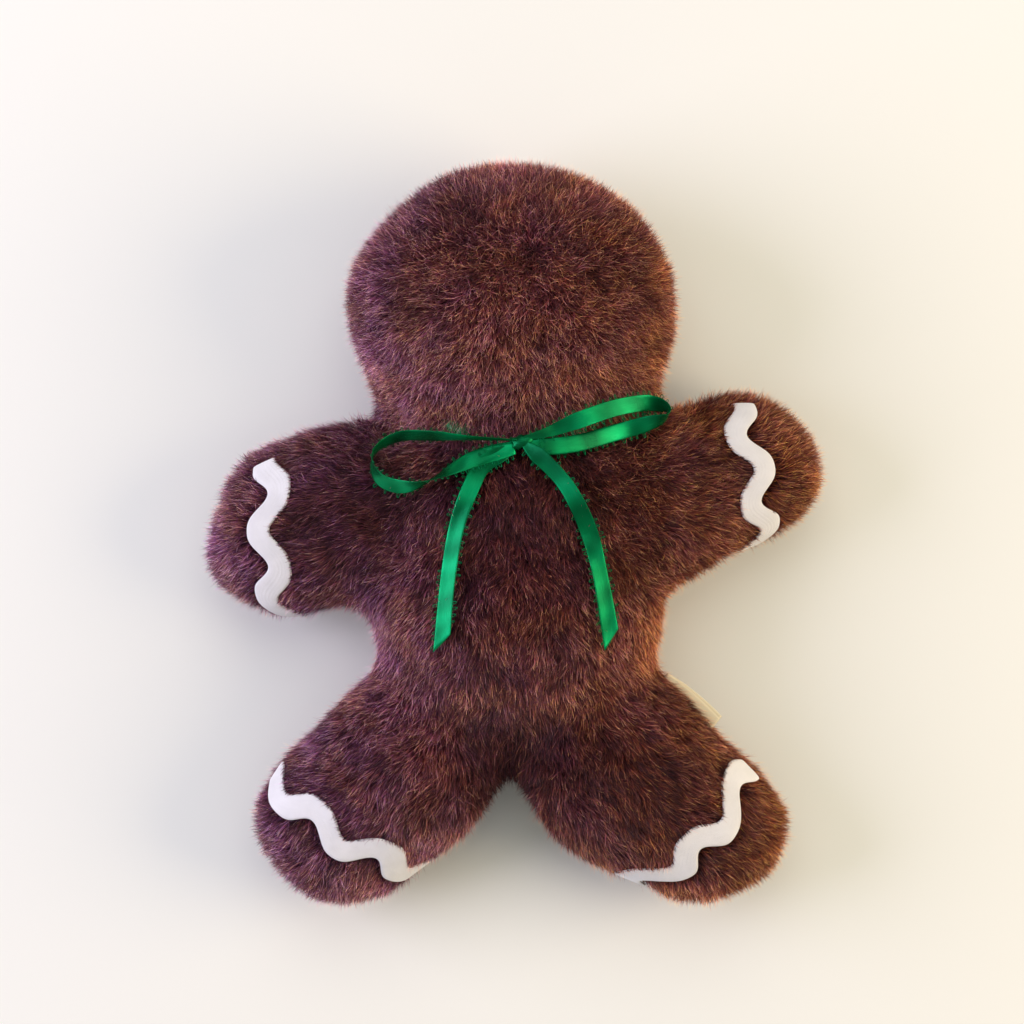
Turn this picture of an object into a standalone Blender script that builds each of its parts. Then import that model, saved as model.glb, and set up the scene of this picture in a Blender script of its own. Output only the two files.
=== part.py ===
"""A stuffed plush gingerbread man, lying on its back with its trimmed side up.

The figure is one fur pillow with a head, a torso, two arms and two legs. A wavy braid crosses each
limb from seam to seam, a narrow satin ribbon is tied round the neck in a bow, and a folded cloth tag
is sewn into the seam at one hip. The head points along +Y, the trimmed side faces +Z, and the origin
is on the surface that the figure lies on, under the middle of its width and length.
"""

import math
from typing import NamedTuple

import bmesh
import bpy
import numpy as np
from mathutils import Matrix, Vector
from mathutils.bvhtree import BVHTree

MM = 0.001
GAP = 0.5 * MM  # left between the fur and whatever lies on it


class Lobe(NamedTuple):
    """One swelling of the stuffed figure, in millimetres, with its turn about Z in degrees."""

    x: float
    y: float
    half_width: float
    half_length: float
    half_depth: float
    turn: float = 0.0


# The figure: where each swelling lies and how far it reaches each way
HEAD = Lobe(1.4, 76.2, 57.3, 48.9, 33.0)
JAW = Lobe(3.0, 54.0, 51.5, 29.0, 24.0)
CHEST = Lobe(1.0, 11.0, 53.0, 31.0, 29.0)
BELLY = Lobe(2.6, -30.5, 51.5, 43.0, 30.0)
LEFT_SHOULDER = Lobe(-51.0, 5.5, 33.0, 34.0, 23.0)
LEFT_HAND = Lobe(-74.0, -1.5, 29.5, 31.0, 20.5)
RIGHT_SHOULDER = Lobe(51.5, 11.5, 32.5, 33.0, 23.0)
RIGHT_HAND = Lobe(78.5, 20.0, 28.5, 28.5, 20.5)
LEFT_THIGH = Lobe(-35.0, -81.5, 33.0, 38.0, 25.0, -36.0)
LEFT_FOOT = Lobe(-57.0, -99.5, 29.5, 28.5, 21.0)
RIGHT_THIGH = Lobe(39.5, -82.0, 35.0, 40.0, 25.0, 34.0)
RIGHT_FOOT = Lobe(67.5, -101.0, 28.5, 26.5, 21.0)
LOBES = (
    HEAD, JAW, CHEST, BELLY, LEFT_SHOULDER, LEFT_HAND, RIGHT_SHOULDER, RIGHT_HAND,
    LEFT_THIGH, LEFT_FOOT, RIGHT_THIGH, RIGHT_FOOT,
)

SINK = 1.6 * MM  # how far each swelling is pressed flat against the surface under it
LOBE_SEGMENTS = 48
LOBE_RINGS = 32
FUSE_CELL = 3.0 * MM
CREASE_SOFTENING = 9
FACE_SHARE = 0.2  # of the fused faces, kept in the finished solid


class Braid(NamedTuple):
    """A wavy braid over a limb, between two points of its seam, in millimetres.

    On the way from start to end, the tip of the limb is on the left.
    """

    name: str
    start: tuple
    end: tuple
    seam_height: float
    bow: float  # how much nearer to the tip of the limb its middle is than its ends
    first_wave: float  # 1 begins towards the tip of the limb, -1 away from it
    wave_lead: float  # how far the waves are moved back towards the start, in waves


BRAIDS = (
    Braid("rickrack_left_arm", (-77.7, -30.4), (-78.7, 28.5), 19.5, 3.6, -1.0, 0.06),
    Braid("rickrack_right_arm", (75.1, 44.3), (85.9, -6.7), 19.5, 3.0, -1.0, -0.035),
    Braid("rickrack_left_leg", (-32.5, -114.4), (-80.5, -84.5), 20.5, 4.7, -1.0, 0.03),
    Braid("rickrack_right_leg", (80.0, -78.6), (39.0, -120.0), 20.5, 9.6, 1.0, -0.09),
)
BRAID_WIDTH = 10.0 * MM
BRAID_THICKNESS = 1.2 * MM
BRAID_WAVES = 3
WAVE_HEIGHT = 3.3 * MM
HUMP_ROUNDNESS = 0.2  # 0 gives humps as sharp as the notches between them
BRAID_STEPS = 42
BRAID_STEPS_ACROSS = 3

RIBBON_WIDTH = 6.0 * MM
RIBBON_THICKNESS = 0.8 * MM
STEPS_PER_STATION = 4

# The ribbon round the neck: where its middle line runs in front, at the sides and behind
NECK_AXIS = (4.0, 24.0)
NECK_Y_FRONT = 31.0
NECK_Y_LEFT = 46.0
NECK_Y_RIGHT = 51.0
NECK_Y_BACK = 32.0
NECK_STEPS = 52

# The bow: stations of its ribbon as x, y, lift over the fur (all mm) and roll (degrees from flat)
KNOT_CENTRE = (3.0, 29.9)
KNOT_HALF_SIZE = Vector((5.4, 4.2, 2.9)) * MM
LEFT_LOOP = (
    (2.0, 30.8, 4.6, 10), (-14.0, 31.0, 5.5, 34), (-26.5, 31.8, 3.5, 42), (-37.3, 32.2, 2.0, 46),
    (-45.2, 28.6, 2.0, 52), (-48.0, 23.4, 2.0, 50), (-44.6, 17.4, 1.5, 40), (-36.6, 14.6, 1.0, 38),
    (-27.3, 16.6, 1.0, 52), (-13.0, 24.6, 0.4, 10), (1.0, 28.2, 1.0, 0),
)
RIGHT_LOOP = (
    (4.0, 31.0, 4.2, 0), (12.7, 33.4, 5.0, 8), (22.6, 37.2, 6.0, 14), (35.0, 41.4, 6.0, 14),
    (46.0, 43.2, 6.0, 24), (52.0, 41.4, 5.2, 60), (51.4, 38.4, 4.2, 110), (44.5, 36.0, 2.6, 155),
    (34.0, 33.0, 1.2, 168), (23.0, 29.8, 1.0, 174), (12.7, 28.4, 1.2, 178), (4.5, 28.4, 1.8, 180),
)
LEFT_TAIL = (
    (1.0, 28.0, 1.2, 0), (-9.0, 22.6, 0.5, 0), (-13.6, 14.6, 0.1, 0), (-18.2, 2.0, 0.0, 0),
    (-21.0, -14.0, 0.0, 0), (-23.2, -37.0, 0.0, 0),
)
RIGHT_TAIL = (
    (4.0, 28.6, 3.0, 0), (12.7, 21.6, 0.8, 0), (19.3, 13.5, 0.2, 0), (25.4, 1.0, 0.0, 0),
    (29.2, -13.0, 0.0, 0), (33.2, -36.0, 0.0, 0),
)
TAIL_SLANT = 6.8 * MM  # how much further a tail's left edge reaches than its right edge

# The cloth tag in the hip seam
TAG_START = (55.4, -46.7)
TAG_END = (72.8, -64.5)
TAG_SEAM_HEIGHT = 25.0 * MM
TAG_REACH = 0.8 * MM
TAG_THICKNESS = 1.4 * MM
TAG_STEPS = 10


def clear_scene():
    for thing in list(bpy.data.objects):
        bpy.data.objects.remove(thing, do_unlink=True)


def new_collection(name):
    made = bpy.data.collections.new(name)
    bpy.context.scene.collection.children.link(made)
    return made


def material(name, colour, roughness):
    made = bpy.data.materials.new(name)
    made.use_nodes = True
    shader = made.node_tree.nodes["Principled BSDF"]
    shader.inputs["Base Color"].default_value = (*colour, 1.0)
    shader.inputs["Roughness"].default_value = roughness
    shader.inputs["Metallic"].default_value = 0.0
    return made


def add_object(name, shape, collection, finish=None):
    mesh = bpy.data.meshes.new(name)
    shape.to_mesh(mesh)
    shape.free()
    mesh.shade_smooth()
    made = bpy.data.objects.new(name, mesh)
    collection.objects.link(made)
    if finish:
        mesh.materials.append(finish)
    return made


def as_cutter(thing):
    thing.hide_render = True
    thing.display_type = "WIRE"
    return thing


def add_boolean(thing, other, operation):
    step = thing.modifiers.new(operation.lower() + "_" + other.name, "BOOLEAN")
    step.operation = operation
    step.solver = "EXACT"
    step.object = other


def thicken(thing, thickness):
    step = thing.modifiers.new("thickness", "SOLIDIFY")
    step.thickness = thickness
    step.offset = 0.0


def reach(thing):
    """Lowest and highest corner of an object as it ends up, in the world."""
    bpy.context.view_layer.update()
    graph = bpy.context.evaluated_depsgraph_get()
    seen = thing.evaluated_get(graph)
    points = [seen.matrix_world @ vertex.co for vertex in seen.data.vertices]
    low = Vector(map(min, zip(*points)))
    high = Vector(map(max, zip(*points)))
    return low, high


def floor_cutter(collection):
    """A slab whose top is the surface that the figure lies on."""
    slab = bmesh.new()
    bmesh.ops.create_cube(slab, size=1.0)
    cutter = add_object("floor_slab", slab, collection)
    cutter.scale = (0.4, 0.4, 0.1)
    cutter.location.z = -0.05
    return as_cutter(cutter)


def stuffed_body(parts, cutters, finish):
    """The fur pillow: its swellings fused, their creases softened, and its underside pressed flat."""
    shape = bmesh.new()
    for lobe in LOBES:
        size = Vector((lobe.half_width, lobe.half_length, lobe.half_depth)) * MM
        place = Matrix.LocRotScale(
            Vector((lobe.x * MM, lobe.y * MM, size.z - SINK)),
            Matrix.Rotation(math.radians(lobe.turn), 3, "Z").to_quaternion(),
            size,
        )
        bmesh.ops.create_uvsphere(
            shape, u_segments=LOBE_SEGMENTS, v_segments=LOBE_RINGS, radius=1.0, matrix=place
        )
    body = add_object("fur_body", shape, parts, finish)
    fuse = body.modifiers.new("fuse", "REMESH")
    fuse.mode = "VOXEL"
    fuse.voxel_size = FUSE_CELL
    soften = body.modifiers.new("soften", "SMOOTH")
    soften.factor = 0.5
    soften.iterations = CREASE_SOFTENING
    thin_out = body.modifiers.new("thin_out", "DECIMATE")
    thin_out.ratio = FACE_SHARE
    add_boolean(body, floor_cutter(cutters), "DIFFERENCE")
    low, high = reach(body)
    body.location.x = -(low.x + high.x) / 2
    body.location.y = -(low.y + high.y) / 2
    bpy.context.view_layer.update()
    return body


class Fur:
    """The outside of the finished pillow, found with rays."""

    def __init__(self, body):
        self.tree = BVHTree.FromObject(body, bpy.context.evaluated_depsgraph_get())
        self.place = body.location.copy()

    def hit(self, start, direction, clearance=0.0):
        """Where a ray from inside leaves the fur, or a spot that far off the fur there."""
        point, normal = self.tree.ray_cast(start - self.place, direction)[:2]
        spot = point + normal * clearance
        normal, distance = self.tree.find_nearest(spot)[1::2]
        spot += normal * max(0.0, clearance - distance)
        return spot + self.place

    def height(self, x, y):
        """Height of the fur at one place, or of the surface it lies on where there is no fur."""
        point = self.tree.ray_cast(Vector((x, y, 1.0)) - self.place, Vector((0, 0, -1)))[0]
        return point.z if point else 0.0


def open_strip(steps, steps_across, place):
    """A grid of faces whose corners are put where place(along, across) says, along 0..1, across -1..1."""
    shape = bmesh.new()
    bmesh.ops.create_grid(shape, x_segments=steps, y_segments=steps_across, size=0.5)
    for corner in shape.verts:
        corner.co = place(corner.co.x + 0.5, corner.co.y * 2)
    return shape


def rickrack(braid, fur, parts, finish):
    """One braid, wrapped over its limb from seam to seam."""
    start = Vector((*braid.start, braid.seam_height)) * MM
    end = Vector((*braid.end, braid.seam_height)) * MM
    middle = (start + end) / 2
    outwards = (start - end).normalized()
    upwards = Vector((0, 0, 1))
    along_limb = outwards.cross(upwards)

    def on_fur(turn, shift):
        direction = outwards * math.cos(turn) + upwards * math.sin(turn)
        return fur.hit(middle + along_limb * shift, direction, GAP + BRAID_THICKNESS / 2)

    turns = np.linspace(0.0, math.pi, 91)
    line = [on_fur(turn, 0.0) for turn in turns]
    steps = [0.0] + [(b - a).length for a, b in zip(line, line[1:])]
    travelled = np.cumsum(steps) / sum(steps)

    def place(along, across):
        turn = float(np.interp(along, travelled, turns))
        phase = (along * BRAID_WAVES + braid.wave_lead) * math.tau
        wave = braid.first_wave * math.cos(phase) - HUMP_ROUNDNESS * across * math.cos(2 * phase)
        bow = braid.bow * MM * math.sin(turn)
        return on_fur(turn, bow + wave * WAVE_HEIGHT + across * BRAID_WIDTH / 2)

    shape = open_strip(BRAID_STEPS, BRAID_STEPS_ACROSS, place)
    made = add_object(braid.name, shape, parts, finish)
    thicken(made, BRAID_THICKNESS)
    return made


def neck_band(fur, cutters):
    """The ribbon all the way round the neck, resting on the fur at both of its edges."""
    half = RIBBON_WIDTH / 2

    def ray(turn, across):
        direction = Vector((math.cos(turn), 0.0, math.sin(turn)))
        near = NECK_Y_FRONT if direction.z > 0 else NECK_Y_BACK
        beside = NECK_Y_RIGHT if direction.x > 0 else NECK_Y_LEFT
        y = near + (beside - near) * direction.x**4
        return Vector((NECK_AXIS[0] * MM, y * MM + across * half, NECK_AXIS[1] * MM)), direction

    def place(along, across):
        turn = along * math.tau
        radius = 0.0
        for near_turn in (-0.06, 0.0, 0.06):
            for near_side in (-1.0, -0.5, 0.0, 0.5, 1.0):
                origin, direction = ray(turn + near_turn, near_side)
                radius = max(radius, (fur.hit(origin, direction) - origin).length)
        origin, direction = ray(turn, across)
        return origin + direction * (radius + GAP + RIBBON_THICKNESS / 2)

    shape = open_strip(NECK_STEPS, 1, place)
    bmesh.ops.remove_doubles(shape, verts=shape.verts, dist=0.01 * MM)
    made = add_object("neck_band", shape, cutters)
    thicken(made, RIBBON_THICKNESS)
    return as_cutter(made)


def smooth_value(values, at):
    """A value on the smooth curve through a row of numbers, at 0 for the first and 1 for the last."""
    spot = at * (len(values) - 1)
    first = min(int(spot), len(values) - 2)
    t = spot - first
    a, b, c, d = (values[max(0, min(len(values) - 1, first + k))] for k in (-1, 0, 1, 2))
    bend = (2 * a - 5 * b + 4 * c - d) * t**2 + (3 * b - a - 3 * c + d) * t**3
    return 0.5 * (2 * b + (c - a) * t + bend)


def bow_strip(name, stations, slant, fur, cutters):
    """A length of the bow's ribbon through its stations, narrowed where it enters the knot."""
    columns = list(zip(*stations))

    def middle(at):
        x, y, lift, roll = (smooth_value(column, at) for column in columns)
        return Vector((x, y, 0)) * MM, lift * MM, math.radians(roll)

    def place(along, across):
        centre, lift, roll = middle(along)
        ahead = middle(min(1.0, along + 0.01))[0] - middle(max(0.0, along - 0.01))[0]
        ahead.normalize()
        side = Vector((-ahead.y, ahead.x, 0))
        half = RIBBON_WIDTH / 2
        to_knot = along if slant else min(along, 1 - along)
        half *= min(1.0, 0.72 + 3.0 * to_knot)
        centre -= ahead * across * slant / 2 * along**12
        around = [i * ahead + j * side for i in (-0.5, 0.5) for j in (-1.2, -0.6, 0.0, 0.6, 1.2)]
        under = max(fur.height(*(centre + half * spot).xy) for spot in around)
        centre.z = under + GAP + RIBBON_THICKNESS / 2 + lift + half * abs(math.sin(roll))
        return centre + (side * math.cos(roll) + Vector((0, 0, math.sin(roll)))) * across * half

    steps = (len(stations) - 1) * STEPS_PER_STATION
    made = add_object(name, open_strip(steps, 1, place), cutters)
    thicken(made, RIBBON_THICKNESS)
    return as_cutter(made)


def neck_ribbon(fur, parts, cutters, finish):
    """The tied ribbon as one solid: its knot, joined with the band, the two loops and the two tails."""
    knot = bmesh.new()
    bmesh.ops.create_uvsphere(knot, u_segments=20, v_segments=12, radius=1.0)
    for corner in knot.verts:
        corner.co *= KNOT_HALF_SIZE
    made = add_object("neck_ribbon", knot, parts, finish)
    made.location = (KNOT_CENTRE[0] * MM, KNOT_CENTRE[1] * MM, 0.0)
    around = [made.location + corner.co * 0.6 for corner in made.data.vertices]
    made.location.z = max(fur.height(*spot.xy) for spot in around) + GAP + KNOT_HALF_SIZE.z
    bpy.context.view_layer.update()
    add_boolean(made, neck_band(fur, cutters), "UNION")
    add_boolean(made, bow_strip("left_loop", LEFT_LOOP, 0.0, fur, cutters), "UNION")
    add_boolean(made, bow_strip("right_loop", RIGHT_LOOP, 0.0, fur, cutters), "UNION")
    add_boolean(made, bow_strip("left_tail", LEFT_TAIL, TAIL_SLANT, fur, cutters), "UNION")
    add_boolean(made, bow_strip("right_tail", RIGHT_TAIL, TAIL_SLANT, fur, cutters), "UNION")
    return made


def side_tag(fur, parts, finish):
    """The folded tag, reaching straight out of the hip seam to its own straight rim."""
    start = Vector((*TAG_START, 0)) * MM
    end = Vector((*TAG_END, 0)) * MM
    run = (end - start).normalized()
    outwards = Vector((-run.y, run.x, 0))
    inside = -outwards * 0.03
    height = Vector((0, 0, TAG_SEAM_HEIGHT))

    def place(along, across):
        spot = start.lerp(end, along) + height
        root = fur.hit(spot + inside, outwards) + outwards * GAP
        rim = spot + outwards * TAG_REACH
        return root.lerp(rim, (across + 1) / 2)

    made = add_object("side_tag", open_strip(TAG_STEPS, 2, place), parts, finish)
    thicken(made, TAG_THICKNESS)
    return made


def main():
    clear_scene()
    parts = new_collection("plush_gingerbread_man")
    cutters = new_collection("cutters")
    brown_fur = material("brown_fur", (0.075, 0.030, 0.024), 0.9)
    white_braid = material("white_braid", (0.80, 0.77, 0.76), 0.7)
    green_satin = material("green_satin", (0.0, 0.25, 0.07), 0.35)
    tag_cloth = material("tag_cloth", (0.78, 0.70, 0.58), 0.5)
    fur = Fur(stuffed_body(parts, cutters, brown_fur))
    for braid in BRAIDS:
        rickrack(braid, fur, parts, white_braid)
    neck_ribbon(fur, parts, cutters, green_satin)
    side_tag(fur, parts, tag_cloth)


if __name__ == "__main__":
    main()
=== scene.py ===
import math

import bmesh
import bpy
import numpy as np
from bpy.props import FloatProperty, FloatVectorProperty, IntProperty, PointerProperty
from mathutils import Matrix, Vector
from mathutils.bvhtree import BVHTree
from mathutils.kdtree import KDTree


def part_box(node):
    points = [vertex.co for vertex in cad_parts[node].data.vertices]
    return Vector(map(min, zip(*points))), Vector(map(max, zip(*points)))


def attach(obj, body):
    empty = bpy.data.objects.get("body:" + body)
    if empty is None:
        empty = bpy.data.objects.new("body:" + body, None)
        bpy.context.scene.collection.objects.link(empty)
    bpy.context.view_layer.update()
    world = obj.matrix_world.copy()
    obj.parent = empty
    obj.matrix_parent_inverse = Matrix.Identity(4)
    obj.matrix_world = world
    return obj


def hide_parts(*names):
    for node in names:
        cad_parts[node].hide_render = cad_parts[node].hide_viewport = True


bl_info = {
    "name": "Plush gingerbread man",
    "version": (1, 0, 0),
    "blender": (4, 5, 0),
    "location": "3D View > Sidebar > Plush",
    "description": "Dresses a stuffed gingerbread man in fur, wavy braid, a satin bow and a cloth tag",
    "category": "Object",
}

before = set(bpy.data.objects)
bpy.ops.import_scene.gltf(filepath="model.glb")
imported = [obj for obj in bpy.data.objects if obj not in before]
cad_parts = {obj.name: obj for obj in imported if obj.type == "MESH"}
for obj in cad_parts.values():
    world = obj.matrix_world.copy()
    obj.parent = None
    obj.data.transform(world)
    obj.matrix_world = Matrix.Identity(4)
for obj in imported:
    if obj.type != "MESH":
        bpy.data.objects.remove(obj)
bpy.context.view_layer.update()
MM = 0.001
UP = np.array((0.0, 0.0, 1.0))

# The wavy braids, near to those of the solids: two points of the limb's seam and the height of that
# seam (mm), how much nearer to the limb's tip the middle is, which way the first wave goes, how far the
# waves are moved back, the share of the way round that the pile doesn't cover, and the width (mm)
BRAIDS = {
    "left_arm": ((-78.4, -30.4), (-79.6, 28.5), 19.5, 3.6, -1.0, 0.03, (0.0, 0.83), 9.2),
    "right_arm": ((74.4, 44.1), (85.0, -6.9), 19.5, 3.0, -1.0, -0.035, (0.155, 1.0), 8.7),
    "left_leg": ((-33.0, -113.2), (-76.4, -86.6), 20.5, 4.7, -1.0, 0.06, (0.0, 0.95), 9.2),
    "right_leg": ((78.0, -78.2), (38.6, -119.4), 20.5, 9.3, 1.0, -0.13, (0.085, 1.0), 9.0),
}
BRAID_WAVES = 3
HUMP_ROUNDNESS = 0.2
BRAID_ROWS = 170
BRAID_COLUMNS = 31

# Where the stuffing swells a little past the solid's smooth lobes: x, y, dx, dy, radius (mm)
SWELLS = (
    (-57, -124, -0.5, -3.4, 20), (-40, -122, 2.0, -2.0, 10), (-88, -96, -2.0, -1.2, 15),
    (-76, -70, -1.6, 2.0, 11), (64, -124, 0.5, -2.8, 18), (50, -122, -1.0, -1.6, 12),
    (88, -114, 1.6, -1.4, 11), (98, -99, 2.3, 0.0, 13), (78, -72, 1.2, 1.5, 10), (105, 16, 3.2, 0.0, 18),
    (-106, -16, -3.4, -1.0, 14), (-103, 9, 1.2, 0.0, 10), (-84, 27, -0.6, 1.8, 11), (-70, 36, 0.0, 1.2, 10),
    (-42, 37, 0.4, -3.4, 10), (-48, -37, 1.8, 2.2, 8), (54, 48, -0.8, -2.6, 8), (-44, 112, 1.4, -1.6, 16),
    (54, 64, 1.2, 0.0, 12), (54, -26, 1.2, 0.0, 12), (-60, 32, 0.0, -1.2, 10),
)

# Painted shade and painted light on the pile: places where the fibres are made darker as painted shade
# (under the head, between the legs, by the arm) and paler as painted light (low on the head, on the belly's
# sides, on the hands): x, y, radius (mm) and how much
PAINTED_LIGHT_AND_SHADE = (
    (2, 8, 26, -0.36), (0, -76, 20, -0.50), (-56, 4, 17, -0.36), (44, -86, 20, -0.26), (0, 80, 46, 0.10),
    (2, -34, 20, -0.08), (-32, 58, 18, 0.16), (36, 58, 18, 0.16), (-38, -30, 12, 0.14), (42, -30, 12, 0.14),
    (-102, -6, 13, 0.12), (104, 20, 15, 0.18), (-58, -86, 18, -0.12), (-26, 110, 14, -0.12),
)

# The bow: stations as x, y, lift over the fur (mm) and roll (degrees from flat). Its line stays within
# about 2 mm of the solids' bow, and the rolls of the left loop and of both tails are its own
LEFT_LOOP = (
    (2.0, 30.6, 3.4, 100), (-14.0, 31.2, 3.6, 112), (-26.5, 32.0, 2.4, 124), (-37.3, 32.0, 1.4, 126),
    (-44.4, 28.6, 1.2, 112), (-46.8, 23.4, 1.2, 82), (-43.8, 17.4, 1.0, 46), (-36.6, 15.0, 0.8, 40),
    (-28.3, 16.6, 0.8, 84), (-13.0, 24.0, 0.4, 158), (1.0, 28.0, 0.8, 176),
)
RIGHT_LOOP = (
    (4.0, 31.0, 4.2, 20), (12.7, 33.4, 5.0, 8), (22.6, 37.2, 6.0, 14), (35.0, 41.4, 6.0, 14),
    (46.0, 43.2, 6.0, 24), (52.0, 41.4, 5.2, 60), (51.4, 38.4, 4.2, 110), (44.5, 36.0, 2.6, 155),
    (34.0, 33.0, 1.2, 168), (23.0, 29.8, 1.0, 174), (12.7, 28.4, 1.2, 178), (4.5, 28.4, 1.8, 180),
)
LEFT_TAIL = (
    (1.0, 28.0, 1.2, 0), (-9.0, 22.6, 0.5, -4), (-13.6, 14.6, 0.3, 8), (-18.2, 2.0, 0.2, 24),
    (-21.0, -14.0, 0.2, 30), (-23.2, -37.0, 0.0, 25),
)
RIGHT_TAIL = (
    (4.0, 29.4, 3.4, 8), (12.7, 21.6, 0.8, 26), (19.3, 13.5, 0.2, 24), (25.4, 1.0, 0.0, 2),
    (29.2, -13.0, 0.0, -28), (33.2, -36.0, 0.0, -8),
)
KNOT_CENTRE = (3.0, 29.9)
# How much further a tail's left edge reaches than its right edge
TAIL_SLANT = 6.5 * MM
EDGE_THREAD_RADIUS = 0.14 * MM

# The ribbon round the neck: its axis in x and z, and where it runs in y in front, beside and behind
NECK_AXIS = (4.0, 24.0)
NECK_FRONT = 31.0
NECK_LEFT = 46.0
NECK_RIGHT = 51.0
NECK_BACK = 32.0

# How deep that ribbon lies in the pile (mm): where it is hidden, and how much less in front and behind
NECK_SINK = 8.0
NECK_RISE_IN_FRONT = 5.5
NECK_RISE_BEHIND = 5.8
NECK_PATCH_X = -20

# The tag in the plane of the floor (mm): where it starts and ends along the seam, and its width
TAG_START = (53.2, -48.4, 0.0)
TAG_END = (71.4, -63.8, 0.0)
TAG_WIDTH = 5.0

# How the fur is combed: x, y (mm), the way that it lies there (degrees from +X) and how flat it lies,
# and how far each of these marks reaches (mm)
COMB = (
    (4, 87, 255, 0.8), (-6, 72, 265, 0.9), (-22, 84, 215, 0.8), (24, 84, -35, 0.8), (2, 107, 92, 0.9),
    (2, 121, 90, 1.0), (-26, 101, 150, 0.9), (-38, 110, 130, 1.0),
    (30, 101, 35, 0.9), (42, 110, 48, 1.0), (-30, 74, 200, 0.8), (-50, 78, 185, 1.0), (34, 74, -20, 0.8),
    (54, 78, -5, 1.0), (-28, 54, 235, 0.9), (-44, 48, 225, 1.0), (2, 56, 270, 0.8), (30, 54, -60, 0.9),
    (48, 50, -50, 1.0), (2, 40, 270, 0.9), (-22, 10, 262, 0.9), (2, 8, 270, 0.9), (26, 12, -80, 0.9),
    (-46, 12, 196, 0.9), (-66, 4, 188, 1.0), (-86, 8, 178, 1.0), (-86, -14, 208, 1.0), (-62, -22, 214, 1.0),
    (46, 18, 0, 0.7), (66, 22, 2, 1.0), (86, 36, 40, 1.0), (92, 22, 5, 1.0), (88, 4, -30, 1.0),
    (64, 2, -28, 1.0), (-34, -26, 262, 1.0), (0, -28, 270, 1.0), (36, -28, -82, 1.0),
    (-42, -56, 240, 1.0), (44, -56, -62, 1.0), (0, -60, 270, 1.0), (-30, -84, 236, 1.0),
    (-54, -84, 215, 1.0), (-62, -108, 232, 1.0), (-36, -110, 258, 1.0), (34, -84, -56, 1.0),
    (58, -84, -35, 1.0), (76, -98, -25, 1.0), (58, -114, -64, 1.0), (-78, -96, 195, 1.0), (0, -78, 270, 0.8),
)
COMB_REACH = 13.0

# The pile: the share of long outer fibres, how many fibres a tuft has, how near to a trim they are looked
# at, how high over the floor they and the backing stay, the share of those beside a braid and beside the
# bow that is lifted over its edge, and how far out to each side the painted light tint runs
GUARD_SHARE = 0.38
FIBRES_IN_A_TUFT = 34
TRIM_REACH = 9 * MM
FIBRE_CLEARANCE = 0.15 * MM
BACKING_CLEARANCE = 1.2 * MM
BRAID_FRINGE = 0.6
BOW_FRINGE = 0.15
PAINTED_TINT_HALF_BREADTH = 95 * MM

# The patches of pile, in the order in which region_of numbers them
PATCHES = (
    "pile_head_front", "pile_head_back", "pile_torso_front", "pile_torso_back",
    "pile_left_arm", "pile_right_arm", "pile_left_leg", "pile_right_leg",
)

# How far beside the origin the camera stands, in x and y (m)
CAMERA_SHIFT = (0.0001, 0.00663)


# Sizes and colours that a user would change


class PlushFurSettings(bpy.types.PropertyGroup):
    strands: IntProperty(
        name="Strands", description="How many fibres the pile has in all", default=420000, min=1000
    )
    depth: FloatProperty(
        name="Pile depth", description="From the backing to the tips of the pile",
        default=4.6 * MM, unit="LENGTH", precision=4,
    )
    length: FloatProperty(
        name="Fibre length", description="Mean length of one fibre",
        default=7.4 * MM, unit="LENGTH", precision=4,
    )
    width: FloatProperty(
        name="Fibre width", description="Mean width of one fibre at its widest",
        default=0.205 * MM, unit="LENGTH", precision=5,
    )
    clumping: FloatProperty(
        name="Clumping", description="How far the tips of a tuft lean together",
        default=0.24, min=0.0, max=1.0, subtype="FACTOR",
    )
    # partly the fibres' own colour at the root and partly painted shade deep in the pile; the backing takes
    # it too
    root_and_deep_shade_colour: FloatVectorProperty(
        name="Root colour", description="Colour of the fibres deep in the pile",
        default=(0.020, 0.005, 0.008), subtype="COLOR", size=3, min=0.0, max=1.0,
    )
    fibre_colour: FloatVectorProperty(
        name="Fibre colour", description="Colour along the middle of the fibres",
        default=(0.190, 0.037, 0.040), subtype="COLOR", size=3, min=0.0, max=1.0,
    )
    tip_colour: FloatVectorProperty(
        name="Tip colour", description="Colour of the tips of the fibres",
        default=(0.64, 0.300, 0.185), subtype="COLOR", size=3, min=0.0, max=1.0,
    )


class PlushBraidSettings(bpy.types.PropertyGroup):
    width: FloatProperty(
        name="Width", description="Width of the braids, as a share of their own widths", default=1.0, min=0.1
    )
    thickness: FloatProperty(
        name="Thickness", description="Thickness of the braid", default=1.1 * MM, unit="LENGTH", precision=4
    )
    wave: FloatProperty(
        name="Wave", description="How far its waves swing to each side",
        default=3.3 * MM, unit="LENGTH", precision=4,
    )
    sink: FloatProperty(
        name="Sink", description="How deep the braid is sewn down into the pile",
        default=1.1 * MM, unit="LENGTH", precision=4,
    )
    ribs: IntProperty(name="Ribs", description="Woven ribs across its width", default=13, min=1)
    colour: FloatVectorProperty(
        name="Colour", description="Colour of the braid",
        default=(0.93, 0.92, 0.92), subtype="COLOR", size=3, min=0.0, max=1.0,
    )


class PlushRibbonSettings(bpy.types.PropertyGroup):
    width: FloatProperty(
        name="Width", description="Width of the satin ribbon", default=5.8 * MM, unit="LENGTH", precision=4
    )
    thickness: FloatProperty(
        name="Thickness", description="Thickness of the ribbon",
        default=0.35 * MM, unit="LENGTH", precision=5,
    )
    loop_spacing: FloatProperty(
        name="Edge loop spacing", description="Distance between the thread loops along each edge",
        default=2.3 * MM, unit="LENGTH", precision=4,
    )
    loop_reach: FloatProperty(
        name="Edge loop reach", description="How far the thread loops stand out from the edge",
        default=1.5 * MM, unit="LENGTH", precision=4,
    )
    colour: FloatVectorProperty(
        name="Colour", description="Colour of the satin",
        default=(0.0, 0.25, 0.075), subtype="COLOR", size=3, min=0.0, max=1.0,
    )


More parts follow.
